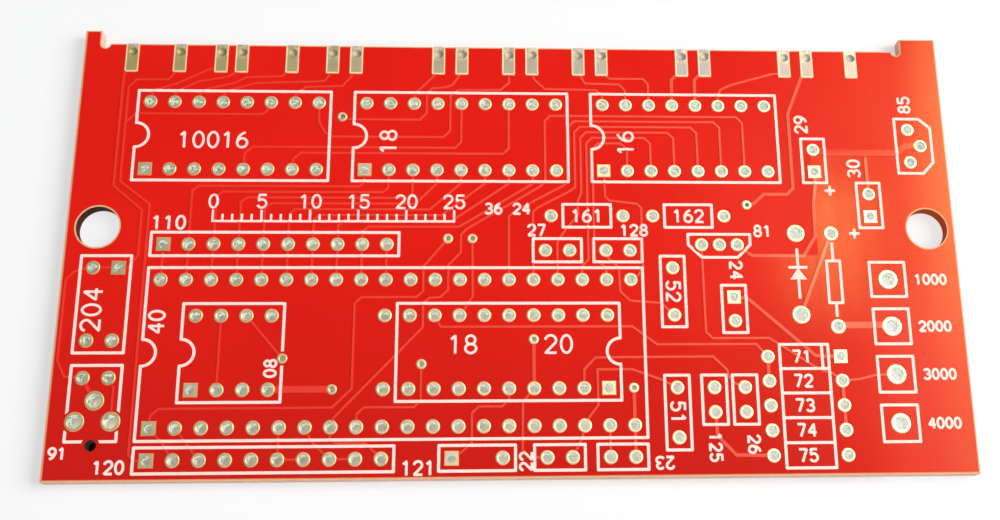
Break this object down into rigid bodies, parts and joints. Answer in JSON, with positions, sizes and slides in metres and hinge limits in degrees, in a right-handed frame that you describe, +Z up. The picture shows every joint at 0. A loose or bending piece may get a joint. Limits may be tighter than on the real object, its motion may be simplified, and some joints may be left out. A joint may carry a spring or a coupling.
{
  "type": "bare printed circuit board",
  "caption": "Bare two-sided printed circuit board with red mask, pale legend, plated holes, edge contacts on one long side and a mounting hole near each end.",
  "frame": {"origin": "centre of the bounding box in plan, at the lowest face of the underside's mask", "axes": "+X along the long side, +Y towards the side with the edge contacts and the two tabs, +Z up out of the component side"},
  "size_m": [0.0932, 0.0484, 0.0017],
  "materials": {
    "laminate": "matte",
    "copper": "satin",
    "mask": "semi-gloss",
    "ink": "matte",
    "tinned": "satin"
  },
  "bodies": {
    "root": {"laminate": "laminate", "tracks_top": "copper", "tracks_underside": "copper", "mask_top": "mask", "mask_underside": "mask", "legend": "ink", "edge_contacts": "tinned", "controller_lands": "tinned", "driver_lands": "tinned", "latch_lands": "tinned", "timer_lands": "tinned", "underside_chip_lands": "tinned", "network_lands": "tinned", "upper_row_lands": "tinned", "lower_row_lands": "tinned", "coupler_lands": "tinned", "jack_pin_lands": "tinned", "jack_tab_lands": "tinned", "polar_cap_1_lands": "tinned", "polar_cap_2_lands": "tinned", "polar_cap_3_lands": "tinned", "polar_cap_4_lands": "tinned", "disc_cap_1_lands": "tinned", "disc_cap_2_lands": "tinned", "disc_cap_3_lands": "tinned", "disc_cap_4_lands": "tinned", "disc_cap_5_lands": "tinned", "disc_cap_6_lands": "tinned", "resistor_1_lands": "tinned", "resistor_2_lands": "tinned", "bank_left_lands": "tinned", "bank_right_lands": "tinned", "transistor_lands": "tinned", "regulator_lands": "tinned", "crystal_1_lands": "tinned", "crystal_2_lands": "tinned", "diode_lands": "tinned", "fuse_lands": "tinned", "wire_lands": "tinned", "vias": "tinned"}
  },
  "joints": []
}
